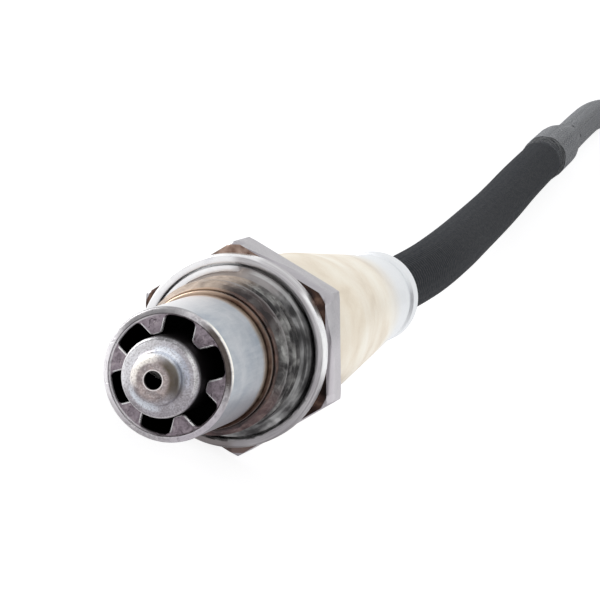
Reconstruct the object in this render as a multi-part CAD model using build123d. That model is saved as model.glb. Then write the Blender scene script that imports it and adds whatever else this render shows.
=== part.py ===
from build123d import *
from math import hypot, pi, radians, tan
import os

# Wideband exhaust gas oxygen sensor with its lead, lying on its side.
# The sensor's axis is Y: the nose points along -Y and the lead leaves along +Y.
# The origin is on the axis, in the plane of the seal ring's front, where the thread begins. +Z is up.
# Every length is in millimetres.

os.makedirs("parts", exist_ok=True)

overshoot = 1.0

# ---- threaded housing
hex_flats = 22.0
hex_length = 6.25
hex_front_chamfer = 0.3
hex_rear_chamfer = 0.25
thread_d = 18.0
thread_length = 6.5
thread_lead_in = 0.8
relief_depth = 0.75
pilot_depth = 0.8
pilot_length = 0.9
housing_bore_r = 6.3
throat_r = 5.7
throat_length = 1.8
collar_length = 5.2
lip_wall = 0.85
lip_overlap = 0.9
lip_round = 0.76

# ---- folded seal ring
seal_d = 22.8
seal_bore_d = 18.4
seal_thickness = 2.4
seal_sheet = 0.5
seal_slit = 0.28
seal_slit_inset = 0.1
seal_hump_round = 0.4
seal_bore_round = 0.45
seal_outer_round = 0.65
seal_rear_round = 0.5
seal_rear_bore_round = 0.3
fold_room = 0.995

# ---- outer protection tube
tube_d = 15.2
tube_wall = 0.5
tube_reach = 13.35
tube_seat_depth = 1.2
tube_flange_width = 0.42
tube_flange_length = 1.0
tube_flange_round = 0.3
face_recess = 0.25
face_plate = 0.5
rim_width = 0.74
rim_round = 0.6
rim_inner_round = 0.1
window_count = 6
window_width = 3.6
window_reach = 6.68
window_corner = 0.7
window_edge_break = 0.1
window_turn = 45.0
tab_corner = 0.55
tab_clearance = 0.1

# ---- inner protection tube
inner_d = 9.1
inner_wall = 0.4
inner_reach = 2.85
inner_flange_round = 0.5
shoulder_round = 0.75
shoulder_crown = 0.15
nose_base_d = 5.9
nose_height = 1.8
nose_tip_round = 1.0
nose_root_round = 0.6
nose_hole_d = 2.1
gas_hole_d = 1.2
gas_hole_count = 8
gas_hole_setback = 6.0

# ---- ceramic stack and sensor element
lower_bush_length = 7.0
talc_length = 5.0
upper_bush_length = 7.2
press_ring_thickness = 0.8
stack_clearance = 0.05
slot_clearance = 0.1
element_width = 4.2
element_thickness = 1.3
element_inside_nose = 3.8
element_into_carrier = 14.0
element_chamfer = 0.3
bushing_chamfer = 0.3
press_ring_inset = 0.6

# ---- contact carrier
carrier_start = 5.3
carrier_length = 18.0
carrier_d = 12.4
carrier_flange_length = 2.0
channel_margin = 0.5
clip_wall = 0.4
clip_length = 8.0
clip_setback = 4.0
clip_gap = 1.6

# ---- contacts and wires
wire_d = 1.35
wire_pitch = 1.6
wire_row_height = 1.3
contact_sheet = 0.2
contact_width = 0.8
crimp_d = 1.5
crimp_length = 4.0
upper_wires = (-1, 0, 1)
lower_wires = (-0.5, 0.5)
contact_front = 1.5
contact_lead = 1.5
contact_bearing = 3.0
contact_rise = 3.5
contact_tip_share = 0.85
crimp_wall_end = 1.0

# ---- sleeve
sleeve_d = 18.4
sleeve_wall = 0.6
sleeve_straight = 17.8
neck_d = 12.2
cone_length = 31.0
neck_length = 6.65
crimp_groove_depth = 0.35
crimp_groove_width = 1.6
crimp_groove_setback = 4.3
sleeve_end_round = 1.1
sleeve_bend_round = 3.0
sleeve_end_hole_clearance = 0.1

# ---- grommet
grommet_length = 6.0
spigot_length = 0.9
spigot_round = 0.15
grommet_round = 0.4

# ---- lead: hose, braid and coil
hose_d = 7.8
braid_d = 6.2
braid_cover = 0.35
braid_end_length = 40.0
braid_end_wide = 18.0
coil_mid_r = 31.0
coil_centre_y = 431.0
coil_levels = 2
coil_slack = 1.2
coil_round = 2.4
braid_lift = 0.1
coil_lead_in = 24.0
coil_lead_out = 26.0
braid_straight = 22.0

# ---- connector
plug_width = 26.0
plug_corner = 3.0
shroud_length = 18.0
shroud_wall = 1.6
shroud_depth = 15.0
core_length = 16.0
core_inset = 1.4
pin_rows = 2
pin_columns = 3
pin_pitch_x = 6.4
pin_pitch_z = 5.6
pin_w = 1.5
pin_h = 0.8
pin_reach = 8.5
pin_into_barrel = 0.5
pin_chamfer = 0.2
barrel_d = 2.6
barrel_length = 9.0
wire_past_seal = 1.5
lock_thickness = 2.0
lock_clearance = 0.2
lock_corner = 1.0
mat_thickness = 4.0
mat_inset = 1.3
cap_length = 5.0
cap_hook = 3.0
boot_length = 8.0
boot_base_d = 11.0
boot_wall = 1.0
latch_width = 8.0
latch_height = 1.8
latch_length = 5.0
latch_slope_share = 0.7
rib_width = 1.4
rib_height = 0.9
rib_sink = 0.2

# ---- places along the axis, worked out from the lengths above
thread_r = thread_d / 2
thread_rear_y = 0.0
seat_y = thread_rear_y + seal_thickness
hex_rear_y = seat_y + hex_length
thread_front_y = thread_rear_y - thread_length
pilot_r = thread_r - pilot_depth
pilot_rear_y = thread_front_y - thread_lead_in
housing_front_y = pilot_rear_y - pilot_length
tube_r = tube_d / 2
tube_bore_r = tube_r - tube_wall
tube_rear_y = housing_front_y + tube_seat_depth
face_y = housing_front_y - tube_flange_length - tube_reach
plate_front_y = face_y + face_recess
plate_rear_y = plate_front_y + face_plate
counterbore_y = tube_rear_y + inner_wall
throat_rear_y = counterbore_y + throat_length
inner_r = inner_d / 2
shoulder_y = face_y - inner_reach
nose_tip_y = shoulder_y - nose_height
talc_front_y = throat_rear_y + lower_bush_length
upper_bush_y = talc_front_y + talc_length
press_ring_y = upper_bush_y + upper_bush_length
lip_y = press_ring_y + press_ring_thickness
housing_rear_y = lip_y + lip_wall
sleeve_r = sleeve_d / 2
sleeve_bore_r = sleeve_r - sleeve_wall
cone_front_y = hex_rear_y + sleeve_straight
cone_rear_y = cone_front_y + cone_length
sleeve_rear_y = cone_rear_y + neck_length
neck_r = neck_d / 2
neck_bore_r = neck_r - sleeve_wall
groove_y = sleeve_rear_y - crimp_groove_setback
hose_r = hose_d / 2
exit_hole_r = hose_r + sleeve_end_hole_clearance
grommet_rear_y = sleeve_rear_y - sleeve_wall
grommet_front_y = grommet_rear_y - grommet_length
lead_exit_y = sleeve_rear_y + spigot_length
carrier_front_y = housing_rear_y + carrier_start
carrier_rear_y = carrier_front_y + carrier_length
element_front_y = nose_tip_y + element_inside_nose
element_rear_y = carrier_front_y + element_into_carrier
floor_z = -seal_d / 2
wire_places = [(n * wire_pitch, wire_row_height) for n in upper_wires]
wire_places += [(n * wire_pitch, -wire_row_height) for n in lower_wires]

# ---- lead's route, chosen by hand: it slopes from the sleeve to the floor and runs back along it
hose_floor_z = floor_z + hose_r + braid_cover
braid_z = floor_z + braid_lift + braid_d / 2
hose_route = [
    (0.0, lead_exit_y, 0.0),
    (0.0, 86.4, 0.0),
    (-3.4, 115.4, -1.3),
    (-8.4, 153.4, -3.9),
    (-14.2, 198.4, -6.5),
    (-20.0, 241.4, hose_floor_z),
    (-23.2, 270.4, hose_floor_z),
]
braid_start = Vector(*hose_route[-1]) + (
    Vector(*hose_route[-1]) - Vector(*hose_route[-2])
).normalized() * braid_end_length
coil_left = -coil_mid_r
braid_route = [
    (braid_start.X, braid_start.Y, braid_z),
    (-30.4, 334.5, braid_z),
    (-32.8, 360.0, braid_z),
    (coil_left, coil_centre_y - coil_lead_in - braid_straight, braid_z),
    (coil_left, coil_centre_y - coil_lead_in, braid_z),
]

# ---- connector's places
plug_x = coil_mid_r
plug_z = braid_z + braid_d * (coil_levels - 1)
plug_height = 2 * (plug_z - floor_z)
boot_rear_y = coil_centre_y - coil_lead_out
cap_rear_y = boot_rear_y - boot_length
core_rear_y = cap_rear_y - cap_length
core_front_y = core_rear_y - core_length
shroud_floor_y = core_front_y
mouth_y = shroud_floor_y - shroud_length


def turned(corners):
    """Solid turned about the Y axis; a corner of its half section is (r, y) or (r, y, rounding)."""
    section = make_face(Polyline(*[corner[:2] for corner in corners], close=True))
    for r, y, *rounding in corners:
        if rounding:
            vertex = section.vertices().sort_by_distance(Vector(r, y))[0]
            section = fillet(vertex, rounding[0])
    return revolve(section, axis=Axis.Y)


def ring(inner, outer, front, rear):
    """Plain ring about the Y axis between two stations."""
    return turned([(inner, front), (outer, front), (outer, rear), (inner, rear)])


def rod(x, z, radius, front, rear):
    """Round rod along Y between two stations."""
    start = Plane(origin=(x, front, z), x_dir=(1, 0, 0), z_dir=(0, 1, 0))
    return extrude(start * Circle(radius), rear - front)


def block(x, z, width, height, front, rear, corner=0.0):
    """Rectangular bar along Y, centred on (x, z), with its long edges rounded."""
    start = Plane(origin=(x, front, z), x_dir=(1, 0, 0), z_dir=(0, 1, 0))
    section = RectangleRounded(width, height, corner) if corner else Rectangle(width, height)
    return extrude(start * section, rear - front)


# ---------------------------------------------------------------- protection tubes
def window_plate():
    """End plate of the outer tube: a ring of windows with tabs that reach to the inner tube."""
    hole_r = inner_r + tab_clearance
    plate = Circle(tube_bore_r) - Circle(hole_r)
    slot = Pos(tube_r / 2, 0) * Rectangle(tube_r, window_width) & Circle(window_reach)
    plate -= PolarLocations(0, window_count, start_angle=0) * slot
    corners = [v for v in plate.vertices() if abs(hypot(v.X, v.Y) - window_reach) < 0.01]
    plate = fillet(corners, window_corner)
    tips = [v for v in plate.vertices() if abs(hypot(v.X, v.Y) - hole_r) < 0.01]
    plate = fillet(tips, tab_corner)
    place = Plane(origin=(0, plate_front_y, 0), x_dir=(1, 0, 0), z_dir=(0, -1, 0))
    body = extrude(place * Rot(0, 0, window_turn) * plate, -face_plate)
    front_face = body.faces().sort_by(Axis.Y)[0]
    window_edges = front_face.inner_wires()[0].edges()
    return chamfer(window_edges, window_edge_break)


def outer_protection_tube():
    flange_r = tube_r + tube_flange_width
    rim_inner = tube_r - rim_width
    flange_front_y = housing_front_y - tube_flange_length
    wall = turned(
        [
            (rim_inner, face_y, rim_inner_round),
            (tube_r, face_y, rim_round),
            (tube_r, flange_front_y),
            (flange_r, flange_front_y, tube_flange_round),
            (flange_r, housing_front_y),
            (tube_r, housing_front_y),
            (tube_r, tube_rear_y),
            (tube_bore_r, tube_rear_y),
            (tube_bore_r, plate_rear_y),
            (rim_inner, plate_rear_y),
        ]
    )
    return wall + window_plate()


def inner_protection_tube():
    nose_r = nose_base_d / 2
    hole_r = nose_hole_d / 2
    hollow_nose_r = nose_r - inner_wall
    hollow_shoulder_y = shoulder_y + inner_wall
    shell = turned(
        [
            (0, nose_tip_y),
            (nose_r, nose_tip_y, nose_tip_round),
            (nose_r, shoulder_y, nose_root_round),
            (inner_r, shoulder_y + shoulder_crown, shoulder_round),
            (inner_r, tube_rear_y, inner_flange_round),
            (tube_r, tube_rear_y),
            (tube_r, counterbore_y),
            (0, counterbore_y),
        ]
    )
    hollow_r = inner_r - inner_wall
    hollow = turned(
        [
            (0, nose_tip_y + inner_wall),
            (hollow_nose_r, nose_tip_y + inner_wall, nose_tip_round - inner_wall),
            (hollow_nose_r, hollow_shoulder_y, nose_root_round),
            (hollow_r, hollow_shoulder_y + shoulder_crown, shoulder_round - inner_wall),
            (hollow_r, counterbore_y),
            (0, counterbore_y),
        ]
    )
    shell -= hollow
    shell -= rod(0, 0, hole_r, nose_tip_y - overshoot, shoulder_y)
    hole_y = plate_rear_y + gas_hole_setback
    for number in range(gas_hole_count):
        turn = Rot(0, number * 360 / gas_hole_count, 0)
        shell -= turn * Pos(inner_r, hole_y, 0) * Rot(0, 90, 0) * Cylinder(gas_hole_d / 2, inner_r)
    return shell


# ---------------------------------------------------------------- housing and seal
def hexagon():
    """Wrench hexagon with turned chamfers, resting on one of its flats."""
    start = Plane(origin=(0, seat_y, 0), x_dir=(1, 0, 0), z_dir=(0, 1, 0))
    corner_r = hex_flats / 3**0.5
    prism = extrude(start * RegularPolygon(corner_r, 6), hex_length)
    slope = 3**0.5
    turned_blank = turned(
        [
            (0, seat_y),
            (corner_r - hex_front_chamfer * slope, seat_y),
            (corner_r, seat_y + hex_front_chamfer),
            (corner_r, hex_rear_y - hex_rear_chamfer),
            (corner_r - hex_rear_chamfer * slope, hex_rear_y),
            (0, hex_rear_y),
        ]
    )
    return prism & turned_blank


def housing():
    relief_r = thread_r - relief_depth
    lip_r = housing_bore_r + lip_wall
    collar_rear_y = hex_rear_y + collar_length
    body = turned(
        [
            (0, housing_front_y),
            (pilot_r, housing_front_y),
            (pilot_r, pilot_rear_y),
            (thread_r, thread_front_y),
            (thread_r, thread_rear_y),
            (relief_r, thread_rear_y),
            (relief_r, hex_rear_y),
            (sleeve_bore_r, hex_rear_y),
            (sleeve_bore_r, collar_rear_y),
            (lip_r, collar_rear_y),
            (lip_r, housing_rear_y, lip_round),
            (0, housing_rear_y),
        ]
    )
    body += hexagon()
    bore = turned(
        [
            (0, housing_front_y),
            (tube_r, housing_front_y),
            (tube_r, counterbore_y),
            (throat_r, counterbore_y),
            (throat_r, throat_rear_y),
            (housing_bore_r, throat_rear_y),
            (housing_bore_r, lip_y),
            (housing_bore_r - lip_overlap, lip_y),
            (housing_bore_r - lip_overlap, housing_rear_y),
            (0, housing_rear_y),
        ]
    )
    return body - bore


def fold_rounds(width, *rounds):
    """The two rounds of a fold, both reduced alike where its width has no room for them."""
    share = min(1.0, width * fold_room / sum(rounds))
    return [size * share for size in rounds]


def seal_ring():
    """Ring folded from sheet: a closed C section whose slit shows between two humps at the front."""
    outer_r = seal_d / 2
    bore_r = seal_bore_d / 2
    middle_r = (outer_r + bore_r) / 2 - seal_slit_inset
    slit_inner_r = middle_r - seal_slit / 2
    slit_outer_r = middle_r + seal_slit / 2
    bore_round, inner_round = fold_rounds(slit_inner_r - bore_r, seal_bore_round, seal_hump_round)
    outer_round, rolled_round = fold_rounds(outer_r - slit_outer_r, seal_hump_round, seal_outer_round)
    return turned(
        [
            (bore_r, 0, bore_round),
            (slit_inner_r, 0, inner_round),
            (slit_inner_r, seal_sheet),
            (bore_r + seal_sheet, seal_sheet),
            (bore_r + seal_sheet, seat_y - seal_sheet),
            (outer_r - seal_sheet, seat_y - seal_sheet),
            (outer_r - seal_sheet, seal_sheet),
            (slit_outer_r, seal_sheet),
            (slit_outer_r, 0, outer_round),
            (outer_r, 0, rolled_round),
            (outer_r, seat_y, seal_rear_round),
            (bore_r, seat_y, seal_rear_bore_round),
        ]
    )


# ---------------------------------------------------------------- element and ceramics
def sensor_element():
    strip = block(0, 0, element_width, element_thickness, element_front_y, element_rear_y)
    return chamfer(strip.edges().group_by(Axis.Y)[0].filter_by(Axis.X), element_chamfer)


def bushing(front, length, clearance):
    """Ceramic ring of the stack, with a flat slot for the element."""
    body = ring(0, housing_bore_r - stack_clearance, front, front + length)
    body = chamfer(body.edges().filter_by(GeomType.CIRCLE), bushing_chamfer)
    slot = block(0, 0, element_width + 2 * clearance, element_thickness + 2 * clearance,
                 front - overshoot, front + length + overshoot)
    return body - slot


def talc_seal():
    body = ring(0, housing_bore_r, talc_front_y, talc_front_y + talc_length)
    slot = block(0, 0, element_width, element_thickness, talc_front_y - overshoot,
                 upper_bush_y + overshoot)
    return body - slot


def press_ring():
    """Dished spring washer between the upper bushing and the rolled lip."""
    inner = housing_bore_r - lip_overlap - press_ring_inset
    return ring(inner, housing_bore_r - stack_clearance, press_ring_y, lip_y)


# ---------------------------------------------------------------- contact carrier
def cone_bore_r(y):
    """Radius inside the sleeve at a station of its cone."""
    share = min(max((y - cone_front_y) / cone_length, 0), 1)
    return sleeve_bore_r + (neck_bore_r - sleeve_bore_r) * share


def carrier_half(side):
    """Half of the ceramic contact carrier; side is 1 above and -1 below."""
    flange_r = cone_bore_r(carrier_rear_y) - stack_clearance
    body = ring(0, carrier_d / 2, carrier_front_y, carrier_rear_y)
    body += ring(0, flange_r, carrier_rear_y - carrier_flange_length, carrier_rear_y)
    channel_top = wire_row_height + contact_sheet / 2
    body -= block(0, 0, element_width + 2 * channel_margin, 2 * channel_top,
                  carrier_front_y - overshoot, carrier_rear_y + overshoot)
    half_space = Pos(0, carrier_front_y, side * carrier_d) * Box(
        4 * carrier_d, 4 * carrier_length, 2 * carrier_d
    )
    return body & half_space


def carrier_clip():
    """Open spring ring that holds the two halves of the carrier together."""
    front = carrier_front_y + clip_setback
    body = ring(carrier_d / 2, carrier_d / 2 + clip_wall, front, front + clip_length)
    gap = block(carrier_d / 2, 0, carrier_d / 2, clip_gap, front - overshoot,
                front + clip_length + overshoot)
    return body - gap


def contact(x, z):
    """Bent strip that bears on the element, with its crimp round the end of a wire."""
    side = 1 if z > 0 else -1
    bearing_z = side * (element_thickness + contact_sheet) / 2
    start_y = carrier_front_y + contact_front
    bearing_y = start_y + contact_lead
    lift_y = bearing_y + contact_bearing
    line = Polyline(
        (start_y, z * contact_tip_share),
        (bearing_y, bearing_z),
        (lift_y, bearing_z),
        (lift_y + contact_rise, z),
        (carrier_rear_y + crimp_wall_end, z),
    )
    strip = Plane.YZ.offset(x - contact_width / 2) * trace(line, contact_sheet)
    body = extrude(strip, contact_width)
    front = carrier_rear_y + crimp_wall_end
    rear = front + crimp_length
    barrel = rod(x, z, crimp_d / 2, front, rear)
    return body + barrel - rod(x, z, wire_d / 2, front + crimp_wall_end, rear + overshoot)


def contact_springs():
    return [contact(x, z) for x, z in wire_places]


def lead_wires():
    front = carrier_rear_y + 2 * crimp_wall_end
    return [rod(x, z, wire_d / 2, front, lead_exit_y) for x, z in wire_places]


# ---------------------------------------------------------------- sleeve and grommet
def neck_outline(radius, front, rear):
    """Neck wall from front to rear, pinched inward at the crimp."""
    pinched = radius - crimp_groove_depth
    half = crimp_groove_width / 2
    return [
        (radius, front),
        (radius, groove_y - half - crimp_groove_depth),
        (pinched, groove_y - half),
        (pinched, groove_y + half),
        (radius, groove_y + half + crimp_groove_depth),
        (radius, rear),
    ]


def sleeve():
    outside = neck_outline(neck_r, cone_rear_y, sleeve_rear_y)
    inside = neck_outline(neck_bore_r, cone_rear_y, grommet_rear_y)[::-1]
    return turned(
        [
            (sleeve_r, hex_rear_y),
            (sleeve_r, cone_front_y, sleeve_bend_round),
            (*outside[0], sleeve_bend_round),
            *outside[1:-1],
            (*outside[-1], sleeve_end_round),
            (exit_hole_r, sleeve_rear_y),
            (exit_hole_r, grommet_rear_y),
            *inside[:-1],
            (*inside[-1], sleeve_bend_round),
            (sleeve_bore_r, cone_front_y, sleeve_bend_round),
            (sleeve_bore_r, hex_rear_y),
        ]
    )


def grommet():
    """Rubber bung under the crimp, with a hole for each wire and a spigot into the hose."""
    outline = neck_outline(neck_bore_r, grommet_front_y, grommet_rear_y)
    body = turned(
        [
            (0, grommet_front_y),
            (*outline[0], grommet_round),
            *outline[1:],
            (exit_hole_r, grommet_rear_y),
            (exit_hole_r, lead_exit_y, spigot_round),
            (0, lead_exit_y),
        ]
    )
    for x, z in wire_places:
        body -= rod(x, z, wire_d / 2, grommet_front_y - overshoot, lead_exit_y + overshoot)
    return body


# ---------------------------------------------------------------- lead
def corner_radii(points):
    """Largest arc that each corner's two runs allow, as the list that the path takes."""
    radii = []
    for before, here, after in zip(points, points[1:], points[2:]):
        arriving = Vector(*here) - Vector(*before)
        leaving = Vector(*after) - Vector(*here)
        turn = radians(arriving.get_angle(leaving))
        shorter = min(arriving.length, leaving.length)
        radii.append(0.45 * shorter / tan(turn / 2))
    return radii


def lead_tube(name, points, diameter):
    """Round lead along straight runs joined by tangent arcs."""
    radii = corner_radii(points)
    path = FilletPolyline(*points, radius=radii)
    start = Plane(origin=path @ 0, z_dir=path % 0)
    body = sweep(start * Circle(diameter / 2), path=path)
    expected = pi * diameter**2 / 4 * path.length
    print(name, "length", round(path.length, 1), "radii", [round(r) for r in radii],
          "volume ratio", round(body.volume / expected, 4))
    return body


def cable_hose():
    return lead_tube("cable_hose", hose_route, hose_d)


def braided_cable():
    return lead_tube("braided_cable", braid_route, braid_d)


def braid_end():
    """End of the braid, spread over the hose and narrowing to its own size; it lies on the floor."""
    start = Vector(*hose_route[-1])
    heading = (start - Vector(*hose_route[-2])).normalized()
    wide_r = hose_r + braid_cover
    wide = Plane(origin=start, z_dir=heading)
    taper = Plane(origin=start + heading * braid_end_wide, z_dir=heading)
    narrow_at = start + heading * braid_end_length
    narrow = Plane(origin=(narrow_at.X, narrow_at.Y, braid_z), z_dir=heading)
    body = extrude(wide * Circle(wide_r), braid_end_wide)
    return body + loft([taper * Circle(wide_r), narrow * Circle(braid_d / 2)])


def cable_coil():
    """Outer form of the coil of spare lead, with the two ends that leave it."""
    coil_height = braid_d * coil_levels + 2 * braid_lift
    section = Pos(coil_mid_r, 0) * RectangleRounded(braid_d + coil_slack, coil_height, coil_round)
    middle_z = floor_z + coil_height / 2
    turns = Pos(0, coil_centre_y, middle_z) * revolve(Plane.XZ * section, axis=Axis.Z)
    lead_in = rod(-coil_mid_r, braid_z, braid_d / 2, coil_centre_y - coil_lead_in, coil_centre_y)
    lead_out = rod(coil_mid_r, plug_z, braid_d / 2, coil_centre_y - coil_lead_out, coil_centre_y)
    return turns + lead_in + lead_out


# ---------------------------------------------------------------- connector
def pin_places():
    places = []
    for row in range(pin_rows):
        for column in range(pin_columns):
            x = plug_x + (column - (pin_columns - 1) / 2) * pin_pitch_x
            z = plug_z + (row - (pin_rows - 1) / 2) * pin_pitch_z
            places.append((x, z))
    return places


def connector_body():
    """Shroud, core with its terminal bores, ribs and the latch ramp, moulded in one."""
    shroud = block(plug_x, plug_z, plug_width, plug_height, mouth_y, shroud_floor_y, plug_corner)
    core_w = plug_width - 2 * core_inset
    core_h = plug_height - 2 * core_inset
    shroud += block(plug_x, plug_z, core_w, core_h, core_front_y, core_rear_y, plug_corner - core_inset)
    cavity_w = plug_width - 2 * shroud_wall
    cavity_h = plug_height - 2 * shroud_wall
    shroud -= block(plug_x, plug_z, cavity_w, cavity_h, mouth_y - overshoot, mouth_y + shroud_depth,
                    plug_corner - shroud_wall)
    for x, z in pin_places():
        shroud -= rod(x, z, barrel_d / 2, mouth_y, core_rear_y + overshoot)
    pocket_w = core_w - 2 * mat_inset
    pocket_h = core_h - 2 * mat_inset
    shroud -= block(plug_x, plug_z, pocket_w, pocket_h, core_rear_y - mat_thickness,
                    core_rear_y + overshoot)
    top_z = plug_z + plug_height / 2
    ramp = Plane(origin=(plug_x - latch_width / 2, mouth_y + shroud_wall * 2, top_z), x_dir=(0, 1, 0),
                 z_dir=(1, 0, 0))
    wedge = make_face(Polyline((0, -rib_sink), (latch_length, -rib_sink), (latch_length, latch_height),
                               (latch_length * latch_slope_share, latch_height), close=True))
    shroud += extrude(ramp * wedge, latch_width)
    for side in (-1, 1):
        rib_x = plug_x + side * (plug_width / 2 - plug_corner - rib_width)
        shroud += block(rib_x, top_z + (rib_height - rib_sink) / 2, rib_width, rib_height + rib_sink,
                        mouth_y + shroud_wall, shroud_floor_y)
    return shroud


def pin_terminals():
    """Six pins: a flat blade in the shroud and a crimp barrel in the core."""
    pins = []
    barrel_front = mouth_y + shroud_depth + lock_thickness
    for x, z in pin_places():
        blade = block(x, z, pin_w, pin_h, mouth_y + shroud_depth - pin_reach,
                      barrel_front + pin_into_barrel)
        blade = chamfer(blade.faces().sort_by(Axis.Y)[0].edges(), pin_chamfer)
        pins.append(blade + rod(x, z, barrel_d / 2, barrel_front, barrel_front + barrel_length))
    return pins


def terminal_lock():
    """Plate at the bottom of the shroud that keeps the terminals from backing out."""
    width = plug_width - 2 * shroud_wall - 2 * lock_clearance
    height = plug_height - 2 * shroud_wall - 2 * lock_clearance
    front = mouth_y + shroud_depth - lock_thickness
    plate = block(plug_x, plug_z, width, height, front, front + lock_thickness, lock_corner)
    for x, z in pin_places():
        plate -= block(x, z, pin_w + lock_clearance, pin_h + lock_clearance, front - overshoot,
                       front + lock_thickness + overshoot)
    return plate


def wire_seal():
    """Soft mat at the back of the core with a hole for each terminal's wire."""
    width = plug_width - 2 * core_inset - 2 * mat_inset
    height = plug_height - 2 * core_inset - 2 * mat_inset
    mat = block(plug_x, plug_z, width, height, core_rear_y - mat_thickness, core_rear_y)
    for x, z in pin_places():
        mat -= rod(x, z, wire_d / 2, core_rear_y - mat_thickness - overshoot, core_rear_y + overshoot)
    return mat


def connector_cap():
    """Back cover clipped over the core, with the tapered boot that the lead enters."""
    width = plug_width
    cap = block(plug_x, plug_z, width, plug_height, core_rear_y - cap_hook, cap_rear_y, plug_corner)
    core_w = plug_width - 2 * core_inset
    core_h = plug_height - 2 * core_inset
    cap -= block(plug_x, plug_z, core_w, core_h, core_rear_y - cap_hook - overshoot, core_rear_y,
                 plug_corner - core_inset)
    hollow_w = core_w - 2 * boot_wall
    hollow_h = core_h - 2 * boot_wall
    cap -= block(plug_x, plug_z, hollow_w, hollow_h, core_rear_y - overshoot, cap_rear_y - boot_wall)
    base = Plane(origin=(plug_x, cap_rear_y, plug_z), z_dir=(0, 1, 0))
    tip = base.offset(boot_length)
    boot = loft([base * Circle(boot_base_d / 2), tip * Circle(braid_d / 2 + boot_wall)])
    cap += boot
    entry_front = cap_rear_y - boot_wall - overshoot
    return cap - rod(plug_x, plug_z, braid_d / 2, entry_front, boot_rear_y + overshoot)


def connector_wires():
    """Ends of the five wires inside the cap, each from the lead's end to its terminal."""
    wires = []
    barrel_rear = mouth_y + shroud_depth + lock_thickness + barrel_length
    for x, z in pin_places()[: len(wire_places)]:
        wires.append(rod(x, z, wire_d / 2, barrel_rear, core_rear_y + wire_past_seal))
    return wires


nodes = {
    "outer_protection_tube": outer_protection_tube(),
    "inner_protection_tube": inner_protection_tube(),
    "housing": housing(),
    "seal_ring": seal_ring(),
    "sensor_element": sensor_element(),
    "lower_bushing": bushing(throat_rear_y, lower_bush_length, slot_clearance),
    "talc_seal": talc_seal(),
    "upper_bushing": bushing(upper_bush_y, upper_bush_length, slot_clearance),
    "press_ring": press_ring(),
    "contact_carrier_upper": carrier_half(1),
    "contact_carrier_lower": carrier_half(-1),
    "carrier_clip": carrier_clip(),
    "contact_springs": Compound(children=contact_springs()),
    "lead_wires": Compound(children=lead_wires()),
    "sleeve": sleeve(),
    "grommet": grommet(),
    "cable_hose": cable_hose(),
    "braid_end": braid_end(),
    "braided_cable": braided_cable(),
    "cable_coil": cable_coil(),
    "connector_body": connector_body(),
    "pin_terminals": Compound(children=pin_terminals()),
    "terminal_lock": terminal_lock(),
    "wire_seal": wire_seal(),
    "connector_cap": connector_cap(),
    "connector_wires": Compound(children=connector_wires()),
}

for name, solid in nodes.items():
    export_step(solid, "parts/" + name + ".step")
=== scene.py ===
from math import atan2, copysign, cos, hypot, pi, radians, sin

import bmesh
import bpy
from mathutils import Matrix, Vector, noise


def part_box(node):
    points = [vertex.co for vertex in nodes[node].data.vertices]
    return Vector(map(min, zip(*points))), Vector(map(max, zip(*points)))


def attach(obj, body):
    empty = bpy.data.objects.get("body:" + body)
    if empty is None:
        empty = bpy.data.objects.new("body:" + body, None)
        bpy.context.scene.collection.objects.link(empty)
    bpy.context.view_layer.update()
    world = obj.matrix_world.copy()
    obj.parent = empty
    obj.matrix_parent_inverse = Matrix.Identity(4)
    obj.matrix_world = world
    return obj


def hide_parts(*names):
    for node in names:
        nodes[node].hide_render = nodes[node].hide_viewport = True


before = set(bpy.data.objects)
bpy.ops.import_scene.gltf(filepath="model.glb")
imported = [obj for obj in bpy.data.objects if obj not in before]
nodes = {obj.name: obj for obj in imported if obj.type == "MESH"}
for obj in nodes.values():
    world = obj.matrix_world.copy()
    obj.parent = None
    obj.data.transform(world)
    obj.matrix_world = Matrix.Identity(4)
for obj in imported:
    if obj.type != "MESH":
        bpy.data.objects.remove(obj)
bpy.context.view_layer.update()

# Looks of the oxygen sensor. The sensor's axis is Y: the nose points along -Y, the lead leaves along
# +Y, and +Z is up. Positions are in metres and most sizes are given in millimetres times MM.

MM = 0.001
scene = bpy.context.scene
finishes = {}


# -------- small tools
def colour(red, green, blue):
    """A colour as it shows on a screen (0 to 1), as the linear values that Blender works in."""
    def linear(value):
        return value / 12.92 if value <= 0.04045 else ((value + 0.055) / 1.055) ** 2.4

    return (linear(red), linear(green), linear(blue), 1.0)


def clamped(value):
    """The value kept within 0 and 1."""
    return min(max(value, 0.0), 1.0)


def eased(share):
    """Smooth change from 0 to 1 over shares of 0 to 1."""
    share = clamped(share)
    return share * share * (3 - 2 * share)


def full_turn(count):
    """Angles of that many equal steps round a circle."""
    return [2 * pi * step / count for step in range(count)]


def feed(tree, socket, value):
    """Links a node's output to the socket, or sets the socket to a plain value."""
    if isinstance(value, bpy.types.NodeSocket):
        tree.links.new(value, socket)
    else:
        socket.default_value = value


def add_node(tree, kind, *inputs, **settings):
    """Adds a shader node; its first inputs are plain values or other nodes' outputs."""
    made = tree.nodes.new("ShaderNode" + kind)
    for setting, value in settings.items():
        setattr(made, setting, value)
    for socket, value in zip(made.inputs, inputs):
        feed(tree, socket, value)
    return made


def new_object(name, data):
    """New object, shown in the scene."""
    made = bpy.data.objects.new(name, data)
    scene.collection.objects.link(made)
    return made


def empty_material(name):
    """New material without nodes."""
    material = bpy.data.materials.new(name)
    material.use_nodes = True
    material.node_tree.nodes.clear()
    return material


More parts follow.
